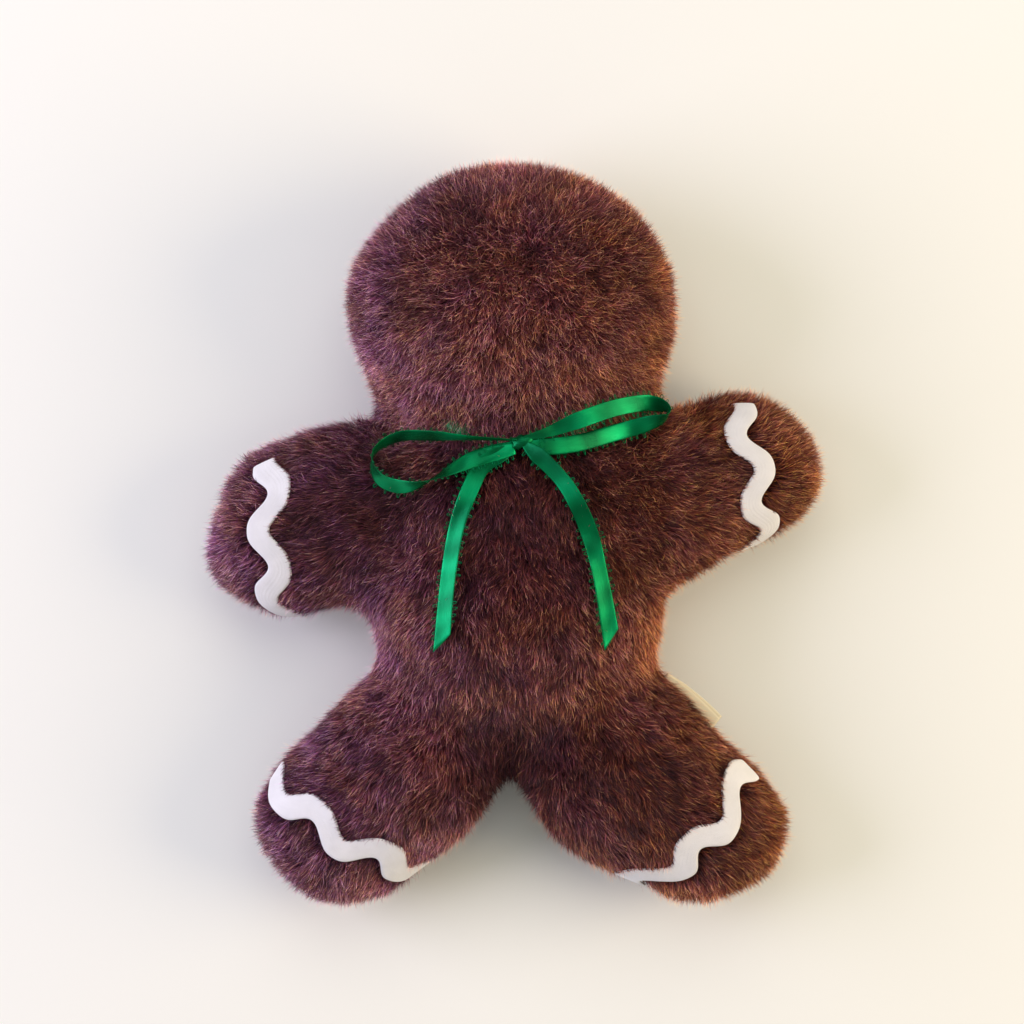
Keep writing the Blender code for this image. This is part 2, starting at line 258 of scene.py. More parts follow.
class PlushTagSettings(bpy.types.PropertyGroup):
    reach: FloatProperty(
        name="Reach", description="How far the tag stands out of the seam",
        default=1.3 * MM, unit="LENGTH", precision=4,
    )
    colour: FloatVectorProperty(
        name="Colour", description="Colour of the tag",
        default=(0.88, 0.79, 0.56), subtype="COLOR", size=3, min=0.0, max=1.0,
    )


class PlushStageSettings(bpy.types.PropertyGroup):
    camera_height: FloatProperty(
        name="Camera height", description="Height of the camera over the floor",
        default=1.03, unit="LENGTH",
    )
    lens: FloatProperty(
        name="Lens", description="Focal length of the camera in millimetres", default=103.4, min=10.0
    )
    floor_colour: FloatVectorProperty(
        name="Floor colour", description="Colour of the floor",
        default=(0.95, 0.965, 0.90), subtype="COLOR", size=3, min=0.0, max=1.0,
    )
    cool_light: FloatVectorProperty(
        name="Left light", description="Colour of the light on the left",
        default=(0.80, 0.74, 0.97), subtype="COLOR", size=3, min=0.0, max=1.0,
    )
    warm_light: FloatVectorProperty(
        name="Right light", description="Colour of the light on the right",
        default=(1.0, 0.80, 0.55), subtype="COLOR", size=3, min=0.0, max=1.0,
    )


class PlushSettings(bpy.types.PropertyGroup):
    fur: PointerProperty(type=PlushFurSettings)
    braid: PointerProperty(type=PlushBraidSettings)
    ribbon: PointerProperty(type=PlushRibbonSettings)
    tag: PointerProperty(type=PlushTagSettings)
    stage: PointerProperty(type=PlushStageSettings)


# Meshes


def unit(vectors):
    """Rows of vectors, each made one long."""
    size = np.linalg.norm(vectors, axis=-1, keepdims=True)
    return vectors / np.maximum(size, 1e-12)


def mesh_of(name, points, corners, sides, bake_map=None, weave_map=None):
    """A mesh with faces of the same number of sides, given as one row of corners."""
    mesh = bpy.data.meshes.new(name)
    corners = np.asarray(corners, np.int32).ravel()
    mesh.vertices.add(len(points))
    mesh.vertices.foreach_set("co", np.asarray(points, np.float32).ravel())
    mesh.loops.add(len(corners))
    mesh.loops.foreach_set("vertex_index", corners)
    mesh.polygons.add(len(corners) // sides)
    mesh.polygons.foreach_set("loop_start", np.arange(0, len(corners), sides, dtype=np.int32))
    mesh.update(calc_edges=True)
    for title, spots in (("OFBake", bake_map), ("weave", weave_map)):
        if spots is not None:
            layer = mesh.uv_layers.new(name=title)
            layer.uv.foreach_set("vector", np.asarray(spots, np.float32).ravel())
    mesh.shade_smooth()
    return mesh


def add_piece(name, mesh, material, replaced=()):
    """Puts a finished mesh on the toy as one piece."""
    made = bpy.data.objects.new(name, mesh)
    bpy.context.scene.collection.objects.link(made)
    mesh.materials.append(material)
    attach(made, "root")
    if replaced:
        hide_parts(*replaced)
    return made


def add_trim(name, part, material, replaced=()):
    """Puts a finished strip, or a row of threads, on the toy as one piece."""
    points, faces, bake, weave = part
    add_piece(name, mesh_of(name, points, faces, 4, bake, weave), material, replaced)


def rows_of(items, name):
    """One property of a mesh's vertices, as a row of three numbers for each."""
    values = np.zeros(len(items) * 3, np.float32)
    items.foreach_get(name, values)
    return values.reshape(-1, 3)


def smooth_body():
    """The solid's surface without its facets, swollen where the stuffing swells, as a mesh."""
    shape = bmesh.new()
    shape.from_mesh(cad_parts["fur_body"].data)
    bmesh.ops.remove_doubles(shape, verts=shape.verts, dist=0.01 * MM)
    for _ in range(3):
        bmesh.ops.smooth_vert(
            shape, verts=shape.verts, factor=0.5, use_axis_x=True, use_axis_y=True, use_axis_z=True
        )
    mesh = bpy.data.meshes.new("smooth_body")
    shape.to_mesh(mesh)
    shape.free()
    made = bpy.data.objects.new("smooth_body", mesh)
    bpy.context.scene.collection.objects.link(made)
    step = made.modifiers.new("subdivide", "SUBSURF")
    step.levels = step.render_levels = 1
    bpy.context.view_layer.update()
    graph = bpy.context.evaluated_depsgraph_get()
    finished = bpy.data.meshes.new_from_object(made.evaluated_get(graph))
    bpy.data.objects.remove(made)
    finished.materials.clear()
    points = rows_of(finished.vertices, "co")
    for x, y, dx, dy, radius in SWELLS:
        far = np.hypot(points[:, 0] / MM - x, points[:, 1] / MM - y)
        share = np.exp(-(far / radius) ** 2)
        points[:, 0] += dx * MM * share
        points[:, 1] += dy * MM * share
    finished.vertices.foreach_set("co", points.ravel())
    finished.update()
    return finished


class Fur:
    """The surface where most tips of the pile lie."""

    def __init__(self, mesh):
        self.points = rows_of(mesh.vertices, "co").astype(float)
        self.normals = unit(rows_of(mesh.vertices, "normal").astype(float))
        mesh.calc_loop_triangles()
        faces = np.zeros(len(mesh.loop_triangles) * 3, np.int32)
        mesh.loop_triangles.foreach_get("vertices", faces)
        self.faces = faces.reshape(-1, 3)
        self.tree = BVHTree.FromPolygons(self.points.tolist(), self.faces.tolist())

    def hit(self, start, direction, clearance=0.0):
        """Where a ray from inside leaves the fur, or a spot that far off it."""
        point, normal = self.tree.ray_cast(Vector(start), Vector(direction))[:2]
        return np.array(point + normal * clearance)

    def height(self, x, y):
        """Height of the fur at one place, or of the floor where there is no fur."""
        point = self.tree.ray_cast(Vector((x, y, 1.0)), Vector((0, 0, -1)))[0]
        return point.z if point else 0.0


def ease(rows):
    """Draws each row of numbers towards the two beside it and keeps both ends."""
    rows[1:-1] = 0.25 * rows[:-2] + 0.5 * rows[1:-1] + 0.25 * rows[2:]


def cross_steps(count):
    """Places from -1 to 1 across a strip, closer together near its edges."""
    return np.sin(np.linspace(-math.pi / 2, math.pi / 2, count))


def strip(middle, thickness, across, relief=None, lane=(0.0, 1.0)):
    """A closed thin strip round a grid of middle points: its points, faces and both its maps."""
    rows, columns = middle.shape[:2]
    normal = unit(np.cross(np.gradient(middle, axis=0), np.gradient(middle, axis=1)))
    half = np.full((rows, columns), thickness / 2)
    half *= np.sqrt(np.clip(1 - np.abs(across) ** 6, 0.0, 1.0))[None, :]
    half[0] = half[-1] = 0.0
    raised = relief if relief is not None else 0.0
    top = middle + normal * (half + raised * (half > 0))[..., None]
    under = middle - normal * half[..., None]
    ids_top = np.arange(rows * columns).reshape(rows, columns)
    inner = np.zeros((rows, columns), bool)
    inner[1:-1, 1:-1] = True
    ids_under = ids_top.copy()
    ids_under[inner] = rows * columns + np.arange(inner.sum())
    points = np.concatenate([top.reshape(-1, 3), under[inner]])
    run = np.zeros(rows)
    run[1:] = np.cumsum(np.linalg.norm(np.diff(middle.mean(1), axis=0), axis=1))
    wide = np.zeros(columns)
    wide[1:] = np.cumsum(np.linalg.norm(np.diff(middle[rows // 2], axis=0), axis=1))
    faces, bake, weave = [], [], []
    low, high = lane
    for ids, flip, base in ((ids_top, False, 0.02), (ids_under, True, 0.52)):
        i, j = np.meshgrid(np.arange(rows - 1), np.arange(columns - 1), indexing="ij")
        steps = ((0, 0), (1, 0), (1, 1), (0, 1))
        steps = steps[::-1] if flip else steps
        faces.append(np.stack([ids[i + a, j + b] for a, b in steps], -1).reshape(-1, 4))
        u = np.stack([(i + a) / (rows - 1) for a, b in steps], -1) * 0.96 + 0.02
        v = np.stack([(j + b) / (columns - 1) for a, b in steps], -1) * 0.46 + base
        bake.append(np.stack([u, low + (high - low) * v], -1).reshape(-1, 2))
        weave.append(np.stack([run[np.stack([i + a for a, b in steps], -1)] / MM,
                               wide[np.stack([j + b for a, b in steps], -1)] / MM], -1).reshape(-1, 2))
    return points, np.concatenate(faces), np.concatenate(bake), np.concatenate(weave)


def joined(parts):
    """Several strips as one: their points, faces and maps put together."""
    points, faces, bake, weave = [], [], [], []
    count = 0
    for part in parts:
        points.append(part[0])
        faces.append(part[1] + count)
        bake.append(part[2])
        weave.append(part[3])
        count += len(part[0])
    return np.concatenate(points), np.concatenate(faces), np.concatenate(bake), np.concatenate(weave)


def threads(paths, radius, sides=4):
    """Short round threads, one along each row of points: their points, faces and both their maps."""
    count, steps = paths.shape[:2]
    ahead = unit(np.gradient(paths, axis=1))
    reference = np.broadcast_to(np.array((0.31, 0.17, 0.93)), ahead.shape)
    side = unit(np.cross(ahead, reference))
    other = np.cross(side, ahead)
    turns = np.arange(sides) / sides * math.tau
    ring = side[:, :, None] * np.cos(turns)[:, None] + other[:, :, None] * np.sin(turns)[:, None]
    points = paths[:, :, None] + ring * radius
    ids = np.arange(count * steps * sides).reshape(count, steps, sides)
    i, j, k = np.meshgrid(np.arange(count), np.arange(steps - 1), np.arange(sides), indexing="ij")
    after = (k + 1) % sides
    faces = np.stack([ids[i, j, k], ids[i, j, after], ids[i, j + 1, after], ids[i, j + 1, k]], -1)
    cells = math.ceil(math.sqrt(count))
    left, low = (i % cells) / cells, (i // cells) / cells
    u = np.stack([j, j, j + 1, j + 1], -1) / (steps - 1) * 0.9 + 0.05
    v = np.stack([k, k + 1, k + 1, k], -1) / sides * 0.9 + 0.05
    bake = np.stack([left[..., None] + u / cells, low[..., None] + v / cells], -1)
    weave = np.stack([u * 4.0, v], -1)
    return points.reshape(-1, 3), faces.reshape(-1, 4), bake.reshape(-1, 2), weave.reshape(-1, 2)


# Materials


def node(tree, kind, **values):
    """A shader node with some of its settings and sockets set."""
    made = tree.nodes.new("ShaderNode" + kind)
    for name, value in values.items():
        if hasattr(made, name):
            setattr(made, name, value)
        else:
            made.inputs[name.replace("_", " ")].default_value = value
    return made


def new_material(name, **sockets):
    """A material with its Principled shader's sockets set."""
    made = bpy.data.materials.new(name)
    made.use_nodes = True
    shader = made.node_tree.nodes["Principled BSDF"]
    for title, value in sockets.items():
        shader.inputs[title.replace("_", " ")].default_value = value
    return made, made.node_tree, shader


def ramp(tree, source, stops):
    """A colour ramp with these stops, fed from a socket."""
    made = tree.nodes.new("ShaderNodeValToRGB")
    bar = made.color_ramp
    while len(bar.elements) > 1:
        bar.elements.remove(bar.elements[-1])
    for number, (place, colour) in enumerate(stops):
        stop = bar.elements[0] if number == 0 else bar.elements.new(place)
        stop.position = place
        stop.color = (*colour, 1.0)
    tree.links.new(source, made.inputs["Fac"])
    return made.outputs["Color"]


def times(tree, first, second):
    """Two sockets' colours multiplied."""
    made = node(tree, "Mix", data_type="RGBA", blend_type="MULTIPLY")
    made.inputs[0].default_value = 1.0
    tree.links.new(first, made.inputs[6])
    tree.links.new(second, made.inputs[7])
    return made.outputs[2]


def texture(tree, kind, source, **values):
    """A texture or mapping node that is fed with coordinates from a socket."""
    made = node(tree, kind, **values)
    tree.links.new(source, made.inputs["Vector"])
    return made


def weave_grid(tree):
    """Coordinates along and across a strip of cloth, in millimetres."""
    return node(tree, "UVMap", uv_map="weave").outputs["UV"]


def own_place(tree):
    """Coordinates in metres in the piece's own frame."""
    return node(tree, "TexCoord").outputs["Object"]


def bump_from(tree, shader, height, distance, strength):
    """A fine relief in the surface, fed from a socket."""
    made = node(tree, "Bump", Strength=strength, Distance=distance)
    tree.links.new(height, made.inputs["Height"])
    tree.links.new(made.outputs["Normal"], shader.inputs["Normal"])


def scaled(colour, share):
    """A colour made darker or paler by a share."""
    return tuple(min(1.0, part * share) for part in colour)


def fibre_material(settings):
    """Fibres that are dark at the root, partly as painted shade deep in the pile, and paler to the tip; they
    differ from one to the next and carry painted light and shade by place and a painted light tint from
    violet at the left to orange at the right.
    """
    made, tree, shader = new_material(
        "chocolate_fibres", Roughness=0.45, Specular_IOR_Level=0.30, Sheen_Weight=0.06, Sheen_Roughness=0.3
    )
    along = node(tree, "Attribute", attribute_name="along")
    fibre_tone_with_painted_shading = node(tree, "Attribute", attribute_name="fibre_tone_with_painted_shading")
    root, fibre, tip = tuple(settings.root_and_deep_shade_colour), tuple(settings.fibre_colour), tuple(settings.tip_colour)
    # darker towards the root, partly the fibres' own colour and partly painted shade deep in the pile, paler
    # to the tip
    colour = ramp(tree, along.outputs["Fac"], (
        (0.0, root), (0.30, scaled(fibre, 0.5)), (0.62, fibre), (1.0, tip),
    ))
    # random tone of each fibre, with the painted shade and painted light laid into it
    tone_with_painted_shading = ramp(tree, fibre_tone_with_painted_shading.outputs["Fac"], (
        (0.0, (0.13, 0.10, 0.16)), (0.4, (0.56, 0.46, 0.58)),
        (0.75, (1.25, 1.3, 1.22)), (1.0, (3.7, 5.7, 4.8)),
    ))
    colour = times(tree, colour, tone_with_painted_shading)
    place = own_place(tree)
    # darker and paler areas, then fibres and areas that are more violet or more tan
    for scale, detail, roughness, stops in (
        (60.0, 3.0, 0.6, ((0.30, (0.62, 0.60, 0.64)), (0.72, (1.28, 1.25, 1.22)))),
        (1100.0, 1.0, 0.5, ((0.36, (0.86, 0.70, 1.20)), (0.5, (1.0, 1.0, 1.0)), (0.64, (1.16, 1.14, 0.68)))),
        (75.0, 1.0, 0.5, ((0.36, (0.96, 0.91, 1.13)), (0.5, (1.0, 1.0, 1.0)), (0.64, (1.06, 1.03, 0.82)))),
    ):
        spots = texture(tree, "TexNoise", place, Scale=scale, Detail=detail, Roughness=roughness)
        colour = times(tree, colour, ramp(tree, spots.outputs["Fac"], stops))
    # painted light: a slow tint from violet at the left, where the cool lamp stands, to orange-brown at the
    # right, where the warm lamp stands
    sides = texture(tree, "SeparateXYZ", place)
    breadth = node(tree, "MapRange", From_Min=-PAINTED_TINT_HALF_BREADTH, From_Max=PAINTED_TINT_HALF_BREADTH)
    tree.links.new(sides.outputs["X"], breadth.inputs["Value"])
    painted_light_tint = ramp(tree, breadth.outputs["Result"], (
        (0.0, (1.0, 1.06, 2.2)), (0.25, (0.99, 0.98, 1.8)), (0.5, (0.99, 0.88, 1.1)),
        (0.68, (1.02, 0.89, 0.82)), (1.0, (1.1, 0.97, 0.52)),
    ))
    tree.links.new(times(tree, colour, painted_light_tint), shader.inputs["Base Color"])
    return made


def backing_material(settings):
    """The knitted backing between the fibres, made near black as painted shade deep in the pile."""
    made, tree, shader = new_material("fur_backing_knit", Roughness=0.95, Specular_IOR_Level=0.1)
    knit = texture(tree, "TexVoronoi", own_place(tree), Scale=900.0)
    root = tuple(settings.root_and_deep_shade_colour)
    colour = ramp(tree, knit.outputs["Distance"], ((0.0, scaled(root, 1.5)), (0.6, scaled(root, 0.8))))
    tree.links.new(colour, shader.inputs["Base Color"])
    bump_from(tree, shader, knit.outputs["Distance"], 0.3 * MM, 0.6)
    return made


def braid_material(settings):
    """White woven cotton braid with fine threads across its ribs."""
    made, tree, shader = new_material(
        "white_woven_braid", Roughness=0.62, Specular_IOR_Level=0.35, Sheen_Weight=0.35, Sheen_Roughness=0.4
    )
    threads_across = texture(
        tree, "TexWave", weave_grid(tree), bands_direction="X", Scale=1.15, Distortion=1.2, Detail=2.0
    )
    spots = texture(tree, "TexNoise", own_place(tree), Scale=180.0, Detail=3.0)
    colour = tuple(settings.colour)
    base = ramp(tree, spots.outputs["Fac"], ((0.3, scaled(colour, 0.93)), (0.7, colour)))
    lines = ramp(tree, threads_across.outputs["Fac"], ((0.0, (0.90, 0.90, 0.90)), (0.6, (1.0, 1.0, 1.0))))
    tree.links.new(times(tree, base, lines), shader.inputs["Base Color"])
    bump_from(tree, shader, threads_across.outputs["Fac"], 0.12 * MM, 0.6)
    return made


def satin_material(settings):
    """Green satin with fine ribs across it, painted sheen and shade in long streaks along the ribbon, and
    painted light and dark lengths along it.
    """
    made, tree, shader = new_material(
        "emerald_satin", Roughness=0.27, Metallic=0.6, Anisotropic=0.6,
        Specular_IOR_Level=0.8, Specular_Tint=(0.12, 1.0, 0.6, 1.0),
    )
    grid = weave_grid(tree)
    ribs = texture(tree, "TexWave", grid, bands_direction="X", Scale=0.9, Distortion=0.6, Detail=1.0)
    stretch = texture(tree, "Mapping", grid, Scale=(0.12, 5.0, 1.0))
    # painted sheen and shade: long streaks along the ribbon, some darker and some brighter and bluer like a
    # highlight of the cool lamp
    painted_sheen_streaks = texture(
        tree, "TexNoise", stretch.outputs["Vector"], Scale=2.0, Detail=3.0, Roughness=0.6
    )
    colour = tuple(settings.colour)
    base = ramp(tree, painted_sheen_streaks.outputs["Fac"], (
        (0.25, scaled(colour, 0.7)), (0.55, colour), (0.8, (0.02, colour[1] * 1.3, colour[2] * 1.6)),
    ))
    # painted highlight and painted shade: slow lighter and darker lengths along the ribbon
    spread = texture(tree, "Mapping", grid, Scale=(0.075, 0.05, 1.0))
    lengths = texture(tree, "TexNoise", spread.outputs["Vector"], Scale=1.0, Detail=1.0)
    painted_fold_light = ramp(tree, lengths.outputs["Fac"], (
        (0.34, (0.4, 0.34, 0.30)), (0.5, (1.0, 0.85, 0.85)), (0.66, (2.6, 1.6, 1.8)),
    ))
    base = times(tree, base, painted_fold_light)
    lines = ramp(tree, ribs.outputs["Fac"], ((0.0, (0.84, 0.84, 0.84)), (0.5, (1.0, 1.0, 1.0))))
    tree.links.new(times(tree, base, lines), shader.inputs["Base Color"])
    bump_from(tree, shader, ribs.outputs["Fac"], 0.05 * MM, 0.5)
    return made


def tag_material(settings):
    """Pale woven label cloth, without print."""
    made, tree, shader = new_material("label_cloth", Roughness=0.5, Sheen_Weight=0.2)
    grid = weave_grid(tree)
    warp = texture(tree, "TexWave", grid, bands_direction="X", Scale=1.6, Distortion=0.5)
    weft = texture(tree, "TexWave", grid, bands_direction="Y", Scale=1.6, Distortion=0.5)
    weave = node(tree, "Math", operation="MULTIPLY")
    tree.links.new(warp.outputs["Fac"], weave.inputs[0])
    tree.links.new(weft.outputs["Fac"], weave.inputs[1])
    colour = tuple(settings.colour)
    base = ramp(tree, weave.outputs["Value"], ((0.0, scaled(colour, 0.88)), (0.7, colour)))
    tree.links.new(base, shader.inputs["Base Color"])
    bump_from(tree, shader, weave.outputs["Value"], 0.06 * MM, 0.5)
    return made


def floor_material(settings):
    """Plain pale paper, hardly uneven in colour."""
    made, tree, shader = new_material("pale_floor", Roughness=0.9, Specular_IOR_Level=0.1)
    spots = texture(tree, "TexNoise", own_place(tree), Scale=3.0, Detail=2.0)
    colour = tuple(settings.floor_colour)
    base = ramp(tree, spots.outputs["Fac"], ((0.3, scaled(colour, 0.99)), (0.7, colour)))
    tree.links.new(base, shader.inputs["Base Color"])
    return made


# The pieces


def braid_middle(path, settings, fur, rows, across):
    """The middle points of one wavy braid over its limb, rounder at its humps than in its notches."""
    (start_x, start_y), (end_x, end_y), seam, bow, first_wave, lead, shown, width = path
    start = np.array((start_x, start_y, seam)) * MM
    end = np.array((end_x, end_y, seam)) * MM
    middle = (start + end) / 2
    outwards = unit(start - end)
    along_limb = np.cross(outwards, UP)
    half = width / 2 * settings.width * MM

    def on_fur(turn, shift):
        """A point of the braid, a turn round the limb from its seam and shifted along the limb."""
        direction = outwards * math.cos(turn) + UP * math.sin(turn)
        return fur.hit(middle + along_limb * shift, direction, settings.thickness / 2 - settings.sink)

    turns = np.linspace(0.0, math.pi, 121)
    line = np.array([on_fur(turn, 0.0) for turn in turns])
    travelled = np.concatenate([[0.0], np.cumsum(np.linalg.norm(np.diff(line, axis=0), axis=1))])
    travelled /= travelled[-1]
    grid = np.zeros((rows, len(across), 3))
    for i, along in enumerate(np.linspace(*shown, rows)):
        turn = float(np.interp(along, travelled, turns))
        phase = (along * BRAID_WAVES + lead) * math.tau
        for j, side in enumerate(across):
            wave = first_wave * math.cos(phase) - HUMP_ROUNDNESS * side * math.cos(2 * phase)
            shift = bow * MM * math.sin(turn) + wave * settings.wave + side * half
            grid[i, j] = on_fur(turn, shift)
    for _ in range(6):
        ease(grid)
        ease(grid.swapaxes(0, 1))
    return grid


def smooth_values(table, at):
    """Each column of a table as a smooth curve through its rows, at places from 0 to 1."""
    table = np.asarray(table, float)
    spot = np.asarray(at) * (len(table) - 1)
    first = np.minimum(spot.astype(int), len(table) - 2)
    t = (spot - first)[:, None]
    a, b, c, d = (table[np.clip(first + k, 0, len(table) - 1)] for k in (-1, 0, 1, 2))
    bend = (2 * a - 5 * b + 4 * c - d) * t**2 + (3 * b - a - 3 * c + d) * t**3
    return 0.5 * (2 * b + (c - a) * t + bend)


def ribbon_middle(stations, slant, settings, fur, across, tail):
    """The middle points of one length of the bow's ribbon."""
    rows = (len(stations) - 1) * 16 + 1
    at = np.linspace(0.0, 1.0, rows)
    x, y, lift, roll = smooth_values(stations, at).T
    centre = np.stack([x, y, np.zeros(rows)], -1) * MM
    ahead = unit(np.gradient(centre, axis=0))
    side = np.stack([-ahead[:, 1], ahead[:, 0], np.zeros(rows)], -1)
    to_knot = at if tail else np.minimum(at, 1 - at)
    pinch = 0.30 if tail else np.where(at < 0.5, 0.22, 0.75)
    half = settings.width / 2 * np.minimum(1.0, pinch + (6.5 if tail else 4.5) * to_knot)
    roll = np.radians(roll)
    reach = (-1.0, -0.5, 0.0, 0.5, 1.0)
    offsets = [(k, j) for k in (-0.5, 0.5) for j in reach]
    under = np.array([
        max(fur.height(*(centre[i] + half[i] * (k * ahead[i] + j * side[i]))[:2]) for k, j in offsets)
        for i in range(rows)
    ])
    for _ in range(10):
        ease(under)
    centre[:, 2] = under + lift * MM + half * np.abs(np.sin(roll))
    lean = side * np.cos(roll)[:, None] + UP * np.sin(roll)[:, None]
    grid = centre[:, None] + (half[:, None] * across[None, :])[..., None] * lean[:, None]
    grid -= (ahead[:, None] * (across * slant / 2)[None, :, None]) * (at**12)[:, None, None]
    face = unit(np.cross(lean, ahead))
    curl = (1 - across**2) * 0.25 * MM
    return grid + face[:, None] * curl[None, :, None]


def neck_middle(settings, fur, across):
    """The middle points of the ribbon round the neck."""
    rows = 161
    origin = np.array((NECK_AXIS[0] * MM, 0.0, NECK_AXIS[1] * MM))

    def ray(turn, side):
        """Where a ray across the neck starts and which way it goes."""
        direction = np.array((math.cos(turn), 0.0, math.sin(turn)))
        near = NECK_FRONT if direction[2] > 0 else NECK_BACK
        beside = NECK_RIGHT if direction[0] > 0 else NECK_LEFT
        y = near + (beside - near) * direction[0] ** 4
        return origin + np.array((0.0, y * MM + side * settings.width / 2, 0.0)), direction

    turns = np.linspace(0.0, math.tau, rows)
    radius = np.zeros(rows)
    for i, turn in enumerate(turns):
        for side in (-0.8, 0.0, 0.8):
            start, direction = ray(turn, side)
            radius[i] = max(radius[i], np.linalg.norm(fur.hit(start, direction) - start))
    ring = radius[:-1]
    for _ in range(8):
        ring = 0.25 * np.roll(ring, 1) + 0.5 * ring + 0.25 * np.roll(ring, -1)
    radius = np.append(ring, ring[0])
    grid = np.zeros((rows, len(across), 3))
    for i, turn in enumerate(turns):
        for j, side in enumerate(across):
            start, direction = ray(turn, side)
            from_patch = (start + direction * radius[i])[0] / MM - NECK_PATCH_X
            in_front = math.exp(-(from_patch**2) / 130) if direction[2] > 0 else 0.0
            behind = min(1.0, max(0.0, -direction[2] - 0.15) / 0.35)
            sink = NECK_SINK - NECK_RISE_IN_FRONT * in_front - NECK_RISE_BEHIND * behind
            grid[i, j] = start + direction * (radius[i] - sink * MM)
    return grid


def knot_part(fur, lane):
    """The knot: a small gathered bundle with the ribbon's turn over it."""
    rows, columns = 33, 24
    knot_x, knot_y = (part * MM for part in KNOT_CENTRE)
    height = max(fur.height(knot_x + dx * MM, knot_y) for dx in (-4, 0, 4))
    centre = np.array((knot_x, knot_y, height + 2.6 * MM))
    turn = np.linspace(0.0, math.tau, rows)[:, None]
    across = np.linspace(-1.0, 1.0, columns)[None, :]
    size = 2.1 * MM * (1 - 0.55 * across**2) * (1 + 0.10 * np.cos(across * 9 + turn))
    tall = 2.0 * MM * (1 - 0.55 * across**2)
    x = across * 3.4 * MM + 0.8 * MM * np.sin(turn)
    y = size * np.cos(turn) + across * 0.9 * MM
    z = tall * np.sin(turn)
    grid = centre + np.stack([np.broadcast_to(x, y.shape), y, z], -1)
    return strip(grid, 0.5 * MM, np.linspace(-1, 1, columns), lane=lane)


def along_line(places, run, line):
    """Points of a line at some distances along it."""
    return np.stack([np.interp(places, run, line[:, k]) for k in range(3)], -1)


def edge_loops(grids, settings):
    """The little thread loops along both edges of the ribbon."""
    paths = []
    spacing = settings.loop_spacing
    rng = np.random.default_rng(11)
    for grid in grids:
        face = unit(np.cross(np.gradient(grid, axis=0), np.gradient(grid, axis=1)))
        for edge, inner in ((0, 1), (-1, -2)):
            line = grid[:, edge]
            out = unit(line - grid[:, inner + (3 if inner > 0 else -3)])
            run = np.concatenate([[0.0], np.cumsum(np.linalg.norm(np.diff(line, axis=0), axis=1))])
            starts = np.arange(spacing, run[-1] - spacing, spacing)
            starts = starts + rng.uniform(-0.2, 0.2, len(starts)) * spacing
            for start in starts:
                if rng.random() < 0.15:
                    continue
                tall = settings.loop_reach * rng.uniform(0.6, 1.2)
                wide = spacing * rng.uniform(0.10, 0.20)
                turn = np.linspace(0.0, math.pi, 11)
                along = start - np.cos(turn) * wide
                base = along_line(along, run, line)
                away = along_line(along, run, out)
                lift = along_line(along, run, face[:, edge])
                tilt = rng.uniform(-0.35, 0.35)
                reach = np.abs(np.sin(turn))[:, None] ** 0.45 * tall
                paths.append(base + away * (reach - 0.1 * MM) + lift * reach * tilt)
    return threads(np.array(paths), EDGE_THREAD_RADIUS)


def comb_direction(places):
    """Which way the fur is combed at each place, as vectors in the plane of the floor."""
    marks = np.array(COMB, float)
    angles = np.radians(marks[:, 2])
    pull = np.stack([np.cos(angles), np.sin(angles)], -1) * marks[:, 3:4]
    far = places[:, None, :2] / MM - marks[None, :, :2]
    weight = np.exp(-(far**2).sum(-1) / (2 * COMB_REACH**2)) + 1e-9
    combed = (weight[..., None] * pull[None]).sum(1) / weight.sum(1)[:, None]
    size = np.linalg.norm(combed, axis=1, keepdims=True)
    combed *= np.maximum(size, 0.5) / np.maximum(size, 1e-6)
    x, y = places[:, 0] / MM, places[:, 1] / MM
    swirl = 0.24 * np.sin(0.19 * x + 0.11 * y + 0.5) + 0.22 * np.sin(0.31 * y - 0.16 * x + 2.1)
    swirl += 0.16 * np.sin(0.47 * x + 0.39 * y)
    turned = np.stack([-combed[:, 1], combed[:, 0]], -1)
    combed = combed * np.cos(swirl)[:, None] + turned * np.sin(swirl)[:, None]
    return np.concatenate([combed, np.zeros((len(places), 1))], -1)


def flow_over(places, normals):
    """The combing at each place, laid along the skin there."""
    flow = comb_direction(places)
    return flow - normals * (flow * normals).sum(1, keepdims=True)


def region_of(places, normals):
    """The number of the patch of pile that each place belongs to."""
    x, y = places[:, 0] / MM, places[:, 1] / MM
    front = normals[:, 2] > -0.05
    number = np.where(front, 2, 3)
    number = np.where((x < -47) & (y > -48), 4, number)
    number = np.where((x > 50) & (y > -48), 5, number)
    number = np.where((y < -60) & (x <= 3), 6, number)
    number = np.where((y < -60) & (x > 3), 7, number)
    head = y > 38 + 0.10 * np.abs(x - 3)
    head &= ~((x > 58) & (y < 60))
    return np.where(head, np.where(front, 0, 1), number)


def scatter_roots(fur, skin, count, rng):
    """Roots spread over the backing, with the skin's normal at each."""
    a, b, c = (skin[fur.faces[:, k]] for k in range(3))
    cross = np.cross(b - a, c - a)
    area = np.linalg.norm(cross, axis=1) / 2
    lying = fur.normals[fur.faces].mean(1)[:, 2]
    weight = area * np.interp(lying, (-0.8, -0.3, 0.1), (0.42, 0.6, 1.0))
    chosen = rng.choice(len(area), count, p=weight / weight.sum())
    chosen.sort()
    share = rng.random((count, 2))
    over = share.sum(1) > 1
    share[over] = 1 - share[over]
    share = np.concatenate([1 - share.sum(1, keepdims=True), share], 1)
    corners = fur.faces[chosen]
    roots = (skin[corners] * share[..., None]).sum(1)
    normals = unit((fur.normals[corners] * share[..., None]).sum(1))
    return roots, normals


